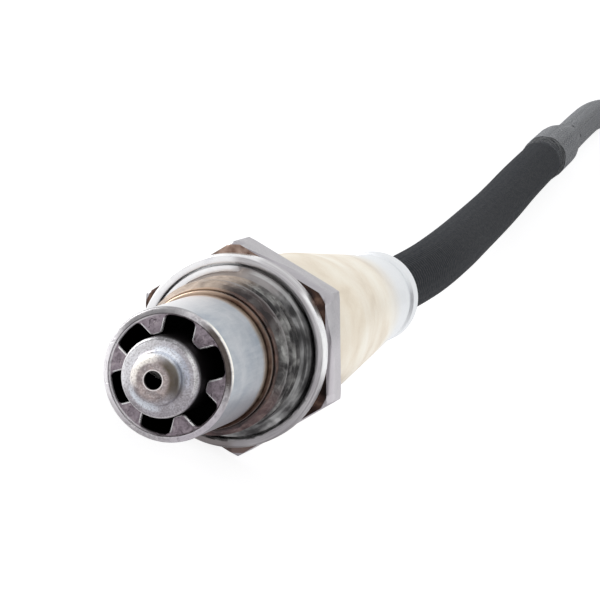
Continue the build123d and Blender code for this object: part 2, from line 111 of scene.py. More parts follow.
class Finish:
    """One procedural material, with short calls for the nodes that the finishes share."""

    def __init__(self, name, **values):
        finishes[name] = empty_material(name)
        self.tree = finishes[name].node_tree
        self.shader = self.node("BsdfPrincipled")
        self.node("OutputMaterial", self.shader.outputs[0])
        for socket, value in values.items():
            self.put(socket.replace("_", " "), value)
        where = self.node("TexCoord").outputs
        millimetres = self.node("VectorMath", where["Object"], operation="SCALE")
        millimetres.inputs["Scale"].default_value = 1 / MM
        self.place = millimetres.outputs[0]
        self.surface_map = where["UV"]

    def node(self, kind, *inputs, **settings):
        return add_node(self.tree, kind, *inputs, **settings)

    def put(self, name, value):
        """Gives one of the shader's own sockets a value or a node's output."""
        feed(self.tree, self.shader.inputs[name], value)

    def math(self, operation, *values, clamp=False):
        """One arithmetic node over values or other nodes' outputs."""
        return self.node("Math", *values, operation=operation, use_clamp=clamp).outputs[0]

    def both(self, *factors):
        """Product of the factors, which is full only where all of them are."""
        product = factors[0]
        for factor in factors[1:]:
            product = self.math("MULTIPLY", product, factor)
        return product

    def either(self, first, second):
        """The larger of two factors."""
        return self.math("MAXIMUM", first, second)

    def scaled(self, value, times, plus, clamp=False):
        """The value times one number, plus another."""
        return self.math("MULTIPLY_ADD", value, times, plus, clamp=clamp)

    def parts(self, vector=None):
        """X, Y and Z of a vector, or of the place in millimetres."""
        return self.node("SeparateXYZ", vector or self.place).outputs

    def radius(self):
        """Distance from the sensor's axis, in millimetres."""
        x, _, z = self.parts()
        return self.math("SQRT", self.math("ADD", self.both(x, x), self.both(z, z)))

    def towards(self, degrees):
        """Cosine of the angle about the axis from the given angle, 0 along +X and 90 along +Z."""
        x, _, z = self.parts()
        angle = radians(degrees)
        across = self.scaled(x, cos(angle), self.both(z, sin(angle)))
        return self.math("DIVIDE", across, self.radius())

    def span(self, value, low, high, to_low=0.0, to_high=1.0):
        """Smooth change from to_low to to_high as the value goes from low to high."""
        return self.node("MapRange", value, low, high, to_low, to_high,
                         interpolation_type="SMOOTHSTEP").outputs[0]

    def until(self, value, low, high):
        """1 up to low, falling to 0 at high."""
        return self.span(value, low, high, 1.0, 0.0)

    def band(self, value, low, high, soft):
        """1 between low and high, falling to 0 over the soft width outside them."""
        return self.both(self.span(value, low - soft, low), self.until(value, high, high + soft))

    def side(self, degrees, start, full, amount=1.0):
        """The amount on one side of the axis; start and full are cosines of towards(degrees)."""
        return self.span(self.towards(degrees), start, full, 0.0, amount)

    def stretched(self, scale):
        """Place scaled along each axis, so that a texture streaks along the smallest scale."""
        return self.node("VectorMath", self.place, scale, operation="MULTIPLY").outputs[0]

    def round_place(self, around, along, outward=1.0):
        """Place wrapped round the axis, so that a texture follows a turned piece's tool marks."""
        x, y, z = self.parts()
        turn = self.both(self.math("ARCTAN2", z, x), around)
        outwards = self.both(self.radius(), outward)
        return self.node("CombineXYZ", turn, self.both(y, along), outwards).outputs[0]

    def noise(self, scale, detail=2.0, rough=0.5, twist=0.0, vector=None):
        """Noise of so many waves to the millimetre, over the place or another vector."""
        made = self.node("TexNoise", vector or self.place)
        for socket, value in zip(("Scale", "Detail", "Roughness", "Distortion"),
                                 (scale, detail, rough, twist)):
            made.inputs[socket].default_value = value
        return made.outputs["Fac"]

    def ramp(self, factor, stops):
        """Colour ramp; a stop is a position and a colour's three values as on a screen."""
        made = self.node("ValToRGB", factor)
        while len(made.color_ramp.elements) < len(stops):
            made.color_ramp.elements.new(1.0)
        for element, (position, *shade) in zip(made.color_ramp.elements, stops):
            element.position = position
            element.color = colour(*shade)
        return made.outputs[0]

    def mix(self, factor, first, second, blend="MIX"):
        """The first colour, changed to the second by the factor; plain ones are as on a screen."""
        made = self.node("Mix", factor, data_type="RGBA", blend_type=blend)
        for socket, shade in zip(made.inputs[6:8], (first, second)):
            feed(self.tree, socket, colour(*shade) if isinstance(shade, tuple) else shade)
        return made.outputs[2]

    def patch(self, base, radii, soft, degrees, start, full, amount, shade):
        """The base with a shade laid over part of a ring: between two radii, on one side."""
        here = self.both(self.band(self.radius(), *radii, soft), self.side(degrees, start, full, amount))
        return self.mix(here, base, shade)

    def flattened(self, amount):
        """The surface's normal, turned by a share towards the nose, as on a flat-topped fold."""
        turned = self.node("Mix", amount, data_type="VECTOR")
        feed(self.tree, turned.inputs[4], self.node("NewGeometry").outputs["Normal"])
        turned.inputs[5].default_value = (0.0, -1.0, 0.0)
        return self.node("VectorMath", turned.outputs[1], operation="NORMALIZE").outputs[0]

    def bump(self, height, depth, below=None):
        """Bump of the given depth in millimetres, over another bump if one is given."""
        made = self.node("Bump", 1.0, depth * MM)
        feed(self.tree, made.inputs["Height"], height)
        if below is not None:
            feed(self.tree, made.inputs["Normal"], below)
        return made.outputs[0]


def new_piece(name, mesh, slot, *replaced, finish=None):
    """Adds a mesh as a piece of the sensor, with its slot's finish or the one given, in place of the CAD
    nodes named.
    """
    piece = new_object(name, mesh)
    piece.data.materials.append(finishes[finish or slot])
    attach(piece, "root")
    if replaced:
        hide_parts(*replaced)
    return piece


def strip_faces(rows, width, closed=False, base=0):
    """Quads between rows of numbered points, from the base on; closed rows join their ends."""
    faces = []
    for row in range(rows - 1):
        for step in range(width if closed else width - 1):
            here, there = base + row * width + step, base + row * width + (step + 1) % width
            faces.append((here, there, there + width, here + width))
    return faces


def smooth_mesh(name, points, faces):
    mesh = bpy.data.meshes.new(name)
    mesh.from_pydata(points, [], faces)
    mesh.shade_smooth()
    return mesh


def grid_mesh(name, rows):
    """Mesh of quads between closed rows of points."""
    points = [point for row in rows for point in row]
    return smooth_mesh(name, points, strip_faces(len(rows), len(rows[0]), closed=True))


def mapped_mesh(name, points, faces, marks):
    """Mesh whose map holds one mark for each point."""
    mesh = smooth_mesh(name, points, faces)
    layer = mesh.uv_layers.new(name="UVMap")
    for loop in mesh.loops:
        layer.uv[loop.index].vector = marks[loop.vertex_index]
    return mesh


def smooth_line(name, points):
    """NURBS curve through the route's control points, as an object."""
    curve = bpy.data.curves.new(name, "CURVE")
    curve.dimensions = "3D"
    curve.resolution_u = 12
    spline = curve.splines.new("NURBS")
    spline.points.add(len(points) - 1)
    for knot, point in zip(spline.points, points):
        knot.co = (*point, 1.0)
    spline.order_u = 3
    spline.use_endpoint_u = True
    return new_object(name, curve)


def points_of(line):
    """Points along a curve object, read from its own spline; the object isn't kept."""
    depsgraph = bpy.context.evaluated_depsgraph_get()
    mesh = bpy.data.meshes.new_from_object(line.evaluated_get(depsgraph))
    points = [vertex.co.copy() for vertex in mesh.vertices]
    bpy.data.meshes.remove(mesh)
    bpy.data.objects.remove(line)
    return points


def evenly(points, step):
    """The line's points again, at equal steps along it."""
    lengths = [0.0]
    for before, after in zip(points, points[1:]):
        lengths.append(lengths[-1] + (after - before).length)
    count = max(2, round(lengths[-1] / step))
    spaced, at = [], 0
    for number in range(count + 1):
        wanted = lengths[-1] * number / count
        while at < len(points) - 2 and lengths[at + 1] < wanted:
            at += 1
        share = (wanted - lengths[at]) / (lengths[at + 1] - lengths[at])
        spaced.append(points[at].lerp(points[at + 1], clamped(share)))
    return spaced


def stations(points):
    """Place, side and up vectors and distance at each point, turned as little as possible."""
    found, distance = [], 0.0
    up = Vector((0, 0, 1))
    for number, point in enumerate(points):
        before, after = points[max(number - 1, 0)], points[min(number + 1, len(points) - 1)]
        heading = (after - before).normalized()
        up = (up - heading * up.dot(heading)).normalized()
        if number:
            distance += (point - points[number - 1]).length
        found.append((point, heading.cross(up), up, distance))
    return found


# -------- camera
# solved from the outlines of the sensor's round and six-sided parts in the photograph
picture_px = 600
focal_px = 3504.0
sensor_width = 36.0
camera_place = Vector((84.35, -385.68, 103.58)) * MM
camera_right = Vector((0.83649, 0.28694, 0.46684))
camera_up = Vector((-0.51121, 0.10184, 0.8534))
camera_back = camera_right.cross(camera_up)


def add_camera():
    camera = bpy.data.cameras.new("camera")
    camera.sensor_width = sensor_width
    camera.lens = sensor_width * focal_px / picture_px
    camera.clip_start = 0.01
    camera.clip_end = 100
    eye = new_object("camera", camera)
    turn = Matrix((camera_right, camera_up, camera_back)).transposed()
    eye.matrix_world = Matrix.Translation(camera_place) @ turn.to_4x4()
    scene.camera = eye


# -------- floor, world and lamps
floor_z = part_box("seal_ring")[0].z


def shows_white(tree):
    """Factor of 1 for the rays that see the background: camera, mirror and see-through rays."""
    rays = add_node(tree, "LightPath").outputs
    seen = rays["Is Camera Ray"]
    for name in ("Is Glossy Ray", "Is Transmission Ray"):
        seen = add_node(tree, "Math", seen, rays[name], operation="MAXIMUM").outputs[0]
    return seen


def add_world(ambient):
    """World that shows white and lights the object with the ambient strength."""
    world = bpy.data.worlds.new("studio")
    scene.world = world
    world.use_nodes = True
    tree = world.node_tree
    background = tree.nodes["Background"]
    background.inputs["Color"].default_value = (1, 1, 1, 1)
    strength = add_node(tree, "MapRange", shows_white(tree), 0.0, 1.0, ambient, 1.0)
    tree.links.new(strength.outputs[0], background.inputs["Strength"])


def staged_sheet(name, centre, width, height):
    """Flat rectangle that belongs to the studio, and its new material's empty node tree."""
    mesh = bpy.data.meshes.new(name)
    w, h = width / 2, height / 2
    mesh.from_pydata([(-w, -h, 0), (w, -h, 0), (w, h, 0), (-w, h, 0)], [], [(0, 1, 2, 3)])
    sheet = new_object(name, mesh)
    sheet.location = centre
    material = empty_material(name)
    mesh.materials.append(material)
    return sheet, material.node_tree


def add_floor(size, shade, glow, glow_seen):
    """Pale floor that shows white to the camera and keeps a soft shadow."""
    _, tree = staged_sheet("floor", (0, 0, floor_z), size, size)
    lift = add_node(tree, "MapRange", shows_white(tree), 0.0, 1.0, glow, glow_seen)
    lamp = add_node(tree, "Emission", (1.0, 1.0, 1.0, 1.0), lift.outputs[0])
    paint = add_node(tree, "BsdfDiffuse", (*shade, 1.0))
    painted = add_node(tree, "AddShader", paint.outputs[0], lamp.outputs[0])
    add_node(tree, "OutputMaterial", painted.outputs[0])


def add_lamp(name, place, aim, size, power):
    lamp = bpy.data.lights.new(name, "AREA")
    lamp.shape = "DISK"
    lamp.size = size
    lamp.energy = power
    holder = new_object(name, lamp)
    holder.location = place
    holder.rotation_mode = "QUATERNION"
    holder.rotation_quaternion = (Vector(aim) - Vector(place)).to_track_quat("-Z", "Y")


def add_card(name, centre, width, height, shade, up=False):
    """Grey card that darkens what the metal mirrors: it faces the sensor, or up if it lies flat."""
    card, tree = staged_sheet(name, centre, width, height)
    card.rotation_mode = "QUATERNION"
    if not up:
        card.rotation_quaternion = (-Vector(centre)).to_track_quat("Z", "Y")
    card.visible_camera = False
    card.visible_shadow = False
    card.visible_diffuse = False
    paint = add_node(tree, "Emission", colour(*shade))
    add_node(tree, "OutputMaterial", paint.outputs[0])


scene.view_settings.view_transform = "Standard"
add_camera()
add_world(ambient=0.5)
add_floor(size=12.0, shade=(0.42, 0.42, 0.43), glow=0.22, glow_seen=0.82)
add_lamp("key", place=(-0.78, 0.14, 0.17), aim=(0, 0, 0), size=0.5, power=4.2)
add_lamp("fill", place=(0.45, -0.75, 0.42), aim=(0, 0.02, 0), size=0.5, power=2.0)
add_card("card_front", (0.19, -0.8, 0.32), 1.12, 0.95, (0.76, 0.75, 0.76))
add_card("card_right", (0.8, -0.4, 0.3), 0.9, 0.8, (0.4, 0.39, 0.4))
add_card("card_low", (0.14, -0.1, floor_z + 0.3 * MM), 0.3, 0.3, (0.8, 0.79, 0.8), up=True)


# -------- finishes
def station(node, end):
    """Front (0) or rear (1) of a CAD node along the sensor's axis, in millimetres."""
    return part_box(node)[end].y / MM


# stations along the axis and radii, in millimetres; the radii are those of the CAD source
tube_face_y = station("outer_protection_tube", 0)
nose_tip_y = station("inner_protection_tube", 0)
housing_front_y = station("housing", 0)
seal_rear_y = station("seal_ring", 1)
sleeve_front_y = station("sleeve", 0)
sleeve_rear_y = station("sleeve", 1)
flange_front_y = housing_front_y - 1.0
pilot_rear_y = housing_front_y + 0.9
pilot_r = 8.2
thread_major_r = 9.0
tube_r = 7.6
rim_inner_r = 6.86
slot_end_r = 6.68
tab_tip_r = 4.65
seal_slit_r = 10.2

# the end plate's windows: one is centred on this angle about the axis
window_count = 6
window_half = 1.8
window_angle = 45


def tube_flank(f):
    """Pale blue drawn steel with a painted highlight on the upper left and painted shade underneath, and a
    brown heat tint towards its root, painted paler on the upper left.
    """
    _, y, z = f.parts()
    cloud = f.noise(0.2, 3, 0.55, 0.4)
    drawn = f.noise(1.0, 3, 0.6, vector=f.round_place(14.0, 0.25))
    flank = f.ramp(cloud, [(0.3, 0.6, 0.64, 0.69), (0.5, 0.69, 0.715, 0.745), (0.72, 0.78, 0.79, 0.81)])
    flank = f.mix(f.span(drawn, 0.35, 0.7, 0.0, 0.3), flank, (0.82, 0.83, 0.84))
    # painted highlight along the upper left
    flank = f.mix(f.side(140, 0.6, 1.0, 0.7), flank, (0.93, 0.92, 0.92))
    # painted shade, darker towards the underside
    flank = f.mix(f.span(z, -4.0, 2.0, 0.78, 0.0), flank, (0.42, 0.4, 0.42))
    wandering = f.scaled(f.noise(0.5, 2), 0.8, f.math("ADD", y, -0.4 - flange_front_y))
    heat = f.span(wandering, -4.8, 1.1)
    tint = f.ramp(heat, [
        (0.0, 1.0, 1.0, 1.0), (0.45, 0.97, 0.98, 0.99), (0.62, 0.92, 0.85, 0.78),
        (0.76, 0.68, 0.56, 0.47), (0.83, 0.84, 0.74, 0.62), (0.9, 0.42, 0.31, 0.25),
        (0.94, 0.66, 0.54, 0.46), (1.0, 0.26, 0.19, 0.17)])
    # the heat tint is painted paler on the upper left, under the painted highlight
    tint = f.mix(f.side(140, 0.66, 0.98, 0.8), tint, f.ramp(heat, [
        (0.0, 1.0, 1.0, 1.0), (0.5, 1.0, 0.97, 0.97), (0.72, 0.95, 0.87, 0.8),
        (1.0, 0.84, 0.74, 0.64)]))
    return f.mix(1.0, flank, tint, "MULTIPLY")


def tube_rim(f, mottle):
    """Rolled rim: grey, with a painted highlight on the left, painted shade at the upper left, painted
    light at the lower right and dark brown on the right.
    """
    rim = f.ramp(mottle, [(0.3, 0.66, 0.645, 0.66), (0.5, 0.8, 0.79, 0.8), (0.7, 0.93, 0.92, 0.92)])
    # painted light and shade round the rim
    rim = f.mix(f.side(215, 0.5, 0.98, 0.6), rim, (0.98, 0.97, 0.98))
    rim = f.mix(f.side(136, 0.75, 0.97, 0.8), rim, (0.46, 0.455, 0.46))
    rim = f.mix(f.side(-28, 0.8, 0.96, 0.6), rim, (0.88, 0.86, 0.89))
    brown = f.both(f.side(49, 0.77, 0.94, 0.9), f.until(f.radius(), tube_r - 0.2, tube_r - 0.1))
    return f.mix(brown, rim, (0.3, 0.26, 0.23))


def tube_plate(f, mottle):
    """End plate: mottled violet brown, with painted highlights along the edges of its windows and tabs,
    and painted light next to the rim on the left.
    """
    x, _, z = f.parts()
    r = f.radius()
    plate = f.ramp(mottle, [(0.3, 0.4, 0.37, 0.39), (0.47, 0.56, 0.52, 0.55),
                            (0.6, 0.64, 0.6, 0.63), (0.74, 0.74, 0.7, 0.69)])
    # turns in windows, a half at a window's middle; a whole number of them keeps it above zero
    turns = f.scaled(f.math("ARCTAN2", z, x), window_count / (2 * pi),
                   0.5 - window_angle / 360 * window_count + window_count)
    from_window = f.math("SUBTRACT", f.math("FRACT", turns), 0.5)
    sideways = f.math("SINE", f.both(from_window, 2 * pi / window_count))
    across = f.math("ABSOLUTE", f.both(sideways, r))
    # painted highlights along the windows' sides and round the tabs' tips
    beside = f.both(f.band(across, window_half - 0.05, window_half + 0.12, 0.06),
                    f.until(r, slot_end_r - 0.4, slot_end_r - 0.2))
    edge_highlight = f.either(beside, f.until(r, tab_tip_r + 0.1, tab_tip_r + 0.16))
    plate = f.mix(f.both(edge_highlight, f.span(mottle, 0.3, 0.5, 0.6, 1.0)), plate, (1.0, 1.0, 1.0))
    # painted light on the plate next to the rim, strongest on the left
    outer_light = f.both(f.span(r, slot_end_r - 0.05, slot_end_r + 0.05),
                   f.span(f.towards(205), 0.0, 0.8, 0.1, 0.75))
    return f.mix(outer_light, plate, (0.86, 0.85, 0.86))


def finish_tube():
    """Outer tube: satin flank, grey-brown rim and end plate, black inside."""
    f = Finish("tube_steel", Metallic=1.0)
    _, y, _ = f.parts()
    r = f.radius()
    mottle = f.noise(1.8, 5, 0.68, 0.6)
    front = f.until(y, tube_face_y + 0.3, tube_face_y + 0.5)
    body = f.mix(front, tube_flank(f), tube_rim(f, mottle))

    # the rim's outer corner: painted shade at the upper left, a painted cream highlight line on the right
    corner = f.both(f.band(y, tube_face_y + 0.1, tube_face_y + 0.6, 0.15),
                    f.span(r, tube_r - 0.12, tube_r - 0.04))
    body = f.mix(f.both(corner, f.side(140, 0.5, 0.95, 0.6)), body, (0.42, 0.42, 0.43))
    body = f.mix(f.both(corner, f.side(51, 0.8, 0.95)), body, (1.0, 0.99, 0.96))

    on_plate = f.both(f.until(r, rim_inner_r - 0.04, rim_inner_r),
                      f.until(y, tube_face_y + 0.7, tube_face_y + 0.74))
    body = f.mix(on_plate, body, tube_plate(f, mottle))
    # painted shade in the step between rim and plate, darkest towards the right and uneven with the mottle
    step = f.both(f.band(r, rim_inner_r - 0.08, rim_inner_r, 0.08),
                  f.span(f.towards(25), -0.6, 0.6, 0.15, 1.0), f.span(mottle, 0.3, 0.6, 0.9, 0.5))
    body = f.mix(step, body, (0.24, 0.19, 0.18))

    # the rim's inner wall catches the light on the left
    lit = f.both(f.span(y, tube_face_y + 0.15, tube_face_y + 0.3),
                 f.until(r, rim_inner_r + 0.14, rim_inner_r + 0.18),
                 f.span(r, slot_end_r - 0.05, slot_end_r + 0.05), f.side(205, 0.1, 0.7))
    body = f.mix(lit, body, (0.97, 0.96, 0.97))
    # black inside and behind the housing's front: soot, and painted shade where the inside is seen
    inside = f.both(f.until(r, tube_r - 0.3, tube_r - 0.2),
                    f.span(y, tube_face_y + 0.74, tube_face_y + 0.78))
    inside = f.either(inside, f.span(y, housing_front_y - 0.05, housing_front_y + 0.05))
    f.put("Base Color", f.mix(inside, body, (0.08, 0.08, 0.1)))
    f.put("Metallic", f.scaled(lit, -0.8, 1.0))
    satin = f.span(f.noise(6.0, 3, 0.6), 0.3, 0.7, 0.3, 0.42)
    f.put("Roughness", f.scaled(on_plate, 0.1, satin))
    fine = f.bump(f.noise(9.0, 3, 0.6, vector=f.round_place(60.0, 3.0, 4.0)), 0.008)
    nicks = f.both(f.span(f.noise(1.3, 2, 0.5, 1.0), 0.62, 0.7),
                   f.until(y, tube_face_y + 0.35, tube_face_y + 0.8))
    f.put("Normal", f.bump(nicks, -0.1, fine))


# painted light and shade on the nose, as patches: radii, soft width, angle, cosines where the patch starts
# and is full, amount and colour
nose_light_patches = (
    ((3.4, 4.3), 0.3, 178, 0.3, 0.8, 0.6, (0.92, 0.92, 0.93)),  # shoulder, painted light on the left
    ((2.1, 2.75), 0.35, 166, 0.3, 0.85, 0.8, (1.0, 0.98, 0.95)),  # tip's flank, painted highlight on the left
    ((2.1, 2.8), 0.5, 40, 0.3, 0.9, 0.88, (0.35, 0.32, 0.26)),  # tip's flank, painted olive shade on the right
    ((3.0, 3.5), 0.3, 60, 0.5, 0.95, 0.55, (0.8, 0.84, 0.9)),  # shoulder, painted bluish reflection at the right
    ((2.95, 3.4), 0.3, 97, 0.8, 0.98, 0.9, (0.95, 0.97, 1.0)),  # and a brighter painted reflection at the top
    ((2.75, 3.6), 0.3, 264, 0.7, 0.97, 0.9, (0.94, 0.97, 1.0)),  # and below
    ((4.25, 4.6), 0.15, 116, 0.15, 0.7, 0.7, (0.46, 0.46, 0.47)),  # edge, painted shade above
    ((4.3, 4.6), 0.15, 130, 0.8, 0.97, 0.7, (0.34, 0.34, 0.35)),  # and the darkest painted shade at the upper left
    ((4.15, 4.35), 0.12, 36, 0.75, 0.95, 0.8, (0.97, 0.97, 0.97)),  # edge's painted highlight on the right
    ((4.4, 4.6), 0.1, 235, -0.5, 0.4, 0.8, (0.98, 0.98, 0.98)),  # and along the lower left
)


def finish_nose():
    """Inner tube: bead-blasted nose with a brown and violet cast and painted light and shade, black behind
    its shoulder, sooty and in painted shade.
    """
    f = Finish("nose_steel", Metallic=1.0)
    _, y, _ = f.parts()
    r = f.radius()
    grain = f.noise(4.5, 3, 0.7)
    cloud = f.noise(0.4, 3, 0.6, 0.5)
    body = f.ramp(cloud, [(0.3, 0.65, 0.63, 0.65), (0.5, 0.74, 0.73, 0.75), (0.7, 0.83, 0.83, 0.86)])
    disc = f.ramp(f.noise(1.6, 4, 0.6), [(0.35, 0.57, 0.53, 0.52), (0.65, 0.76, 0.7, 0.68)])
    body = f.mix(f.span(r, 2.0, 2.7, 0.85, 0.0), body, disc)
    # lay the painted light and shade over the nose
    for patch in nose_light_patches:
        body = f.patch(body, *patch)
    body = f.mix(f.span(grain, 0.46, 0.68, 0.0, 0.5), body, (0.46, 0.43, 0.43))
    # pale specks of the blasted grain, left out under the painted olive shade on the tip's right
    olive_shade = f.both(f.band(r, 1.9, 3.1, 0.4), f.side(48, 0.1, 0.6))
    speck = f.both(f.span(grain, 0.32, 0.46, 0.4, 0.0), f.math("SUBTRACT", 1.0, olive_shade))
    body = f.mix(speck, body, (0.96, 0.96, 0.97))
    # painted highlight: a pale ring round the hole's edge
    body = f.mix(f.band(r, 1.08, 1.16, 0.06), body, (0.93, 0.91, 0.9))
    # black behind the shoulder, inside the outer tube: soot and painted shade
    soot_and_shade = f.span(y, nose_tip_y + 2.3, nose_tip_y + 3.3)
    body = f.mix(soot_and_shade, body, (0.12, 0.11, 0.115))
    # painted shade: the hole's bore is black
    hole = f.until(r, 1.02, 1.1)
    f.put("Base Color", f.mix(hole, body, (0.04, 0.04, 0.05)))
    blasted = f.span(grain, 0.3, 0.75, 0.32, 0.44)
    f.put("Roughness", f.scaled(f.either(soot_and_shade, hole), 0.25, blasted))
    f.put("Normal", f.bump(f.noise(7.0, 4, 0.65), 0.03))


def hexagon_steel(f, grain):
    """Satin steel with painted light on the flats towards +X, scorched brown on the face towards the seal
    ring.
    """
    _, y, _ = f.parts()
    cloud = f.noise(0.25, 3, 0.6, 0.5)
    steel = f.ramp(cloud, [(0.3, 0.66, 0.65, 0.67), (0.7, 0.74, 0.73, 0.745)])
    steel = f.mix(f.span(grain, 0.4, 0.7, 0.0, 0.2), steel, (0.6, 0.58, 0.59))
    # painted light on the flats towards +X
    steel = f.mix(f.side(5, 0.8, 0.95, 0.5), steel, (0.86, 0.84, 0.86))
    scorched = f.ramp(f.noise(0.35, 3, 0.55, 0.6), [
        (0.36, 0.15, 0.13, 0.13), (0.52, 0.26, 0.2, 0.18), (0.7, 0.46, 0.37, 0.32)])
    tan = f.ramp(f.noise(0.8, 3), [(0.35, 0.46, 0.36, 0.31), (0.65, 0.74, 0.65, 0.6)])
    scorched = f.mix(f.side(119, 0.93, 0.995, 0.85), scorched, tan)
    scorched = f.mix(f.side(292, 0.85, 1.0, 0.8), scorched, (0.52, 0.46, 0.44))
    return f.mix(f.until(y, seal_rear_y + 0.03, seal_rear_y + 0.12), steel, scorched)


def pilot_steel(f):
    """Scorched steel, with painted light in tan at the upper left and painted shade, nearly black, at the
    lower right.
    """
    pilot = f.ramp(f.noise(0.9, 3), [(0.35, 0.2, 0.15, 0.14), (0.7, 0.46, 0.35, 0.31)])
    pilot = f.mix(f.side(142, 0.7, 0.98, 0.85), pilot, (0.82, 0.71, 0.61))
    return f.mix(f.side(312, 0.75, 0.95, 0.8), pilot, (0.16, 0.13, 0.14))


def pasted_thread(f):
    """Thread under grey paste, with painted light in tan at the upper left, brown near its start, worn
    along the crests.
    """
    _, y, _ = f.parts()
    past_pilot = f.math("SUBTRACT", y, pilot_rear_y)
    smear = f.noise(0.42, 4, 0.55, 0.5)
    paste = f.ramp(smear, [(0.32, 0.1, 0.1, 0.1), (0.43, 0.22, 0.215, 0.215),
                           (0.52, 0.4, 0.395, 0.39), (0.62, 0.6, 0.6, 0.59),
                           (0.72, 0.78, 0.78, 0.77)])
    # painted light: tan at the upper left
    tan = f.both(f.side(135, 0.68, 0.98), f.span(smear, 0.3, 0.6, 0.6, 0.95))
    paste = f.mix(tan, paste, (0.76, 0.69, 0.63))
    brown = f.both(f.side(80, 0.8, 0.97, 0.7), f.until(past_pilot, 1.5, 3.0))
    paste = f.mix(brown, paste, (0.3, 0.25, 0.25))
    cone = f.both(f.band(past_pilot, 0.1, 0.5, 0.6), f.span(f.towards(140), 0.66, 0.97, 0.85, 0.1),
                  f.span(smear, 0.35, 0.6, 1.0, 0.55))
    paste = f.mix(cone, paste, (0.11, 0.085, 0.09))
    crest = f.both(f.span(f.radius(), thread_major_r - 0.16, thread_major_r - 0.04),
                   f.span(smear, 0.35, 0.55, 0.25, 0.85), f.span(past_pilot, 1.2, 2.2, 0.8, 0.15))
    paste = f.mix(crest, paste, (0.62, 0.61, 0.61))
    baked = f.both(f.side(322, 0.6, 0.9), f.span(past_pilot, 1.2, 3.6, 0.9, 0.0))
    return f.mix(baked, paste, f.ramp(smear, [
        (0.38, 0.15, 0.12, 0.13), (0.55, 0.38, 0.29, 0.29), (0.7, 0.55, 0.46, 0.44)]))


def finish_housing():
    """Housing: satin hexagon, scorched in front; paste on the thread; scorched pilot."""
    f = Finish("housing_steel")
    _, y, _ = f.parts()
    grain = f.noise(4.0, 4, 0.65)
    on_pilot = f.until(y, pilot_rear_y - 0.05, pilot_rear_y + 0.12)
    front = f.mix(on_pilot, pasted_thread(f), pilot_steel(f))
    in_front = f.both(f.until(y, 0.0, 0.2), f.span(f.radius(), pilot_r - 0.2, pilot_r - 0.1))
    f.put("Base Color", f.mix(in_front, hexagon_steel(f, grain), front))
    f.put("Metallic", f.scaled(in_front, -0.7, 1.0))
    f.put("Roughness", f.scaled(in_front, 0.2, f.span(grain, 0.3, 0.7, 0.3, 0.4)))
    lumps = f.both(f.noise(1.6, 4, 0.55, 0.5), in_front)
    f.put("Normal", f.bump(lumps, 0.12, f.bump(grain, 0.01)))


# patches of painted light and shade, and of pale paste: radii, soft width, angle, cosines where the patch
# starts and is full, amount and colour, as on the nose
paste_and_painted_light_patches = (
    ((9.75, 10.4), 0.3, 30, 0.7, 0.92, 0.75, (0.13, 0.13, 0.13)),  # painted shade beside the slit, right
    ((8.95, 9.2), 0.2, 8, 0.8, 0.95, 0.5, (0.55, 0.55, 0.55)),  # pale by the thread, right
    ((9.28, 9.48), 0.12, 32, 0.75, 0.96, 0.7, (0.13, 0.13, 0.13)),  # painted shadow at the hump's foot, right
    ((9.6, 9.85), 0.15, 91, 0.96, 0.998, 0.75, (0.85, 0.85, 0.85)),  # painted highlight streaks along the hump, top
    ((9.62, 9.85), 0.15, 70, 0.965, 0.998, 0.65, (0.78, 0.78, 0.78)),
)


def grime(f):
    """Smeared thread paste: soft grey blotches, black in places, painted lighter at the top, with painted
    light and shade in patches.
    """
    smear = f.noise(0.38, 3, 0.5, 0.4)
    streak = f.noise(1.0, 2, 0.5, 0.3, vector=f.round_place(3.0, 1.0, 1.6))
    shade = f.ramp(f.scaled(smear, 0.6, f.both(streak, 0.4)), [
        (0.39, 0.15, 0.15, 0.15), (0.46, 0.33, 0.325, 0.33),
        (0.53, 0.52, 0.52, 0.52), (0.63, 0.78, 0.78, 0.78)])
    # painted light: paler at the top
    shade = f.mix(f.side(100, 0.88, 0.98, 0.85), shade, (0.62, 0.6, 0.6))
    for patch in paste_and_painted_light_patches:
        shade = f.patch(shade, *patch)
    return shade


def finish_paste():
    """Thread paste: grey and black blotches, painted light in tan on the left, with the metal's gleam."""
    f = Finish("thread_paste", Metallic=0.25, Roughness=0.5)
    f.put("Base Color", f.mix(f.side(160, 0.5, 0.7, 0.85), grime(f), (0.62, 0.57, 0.54)))
    f.put("Normal", f.bump(f.noise(1.2, 3, 0.55), 0.12))


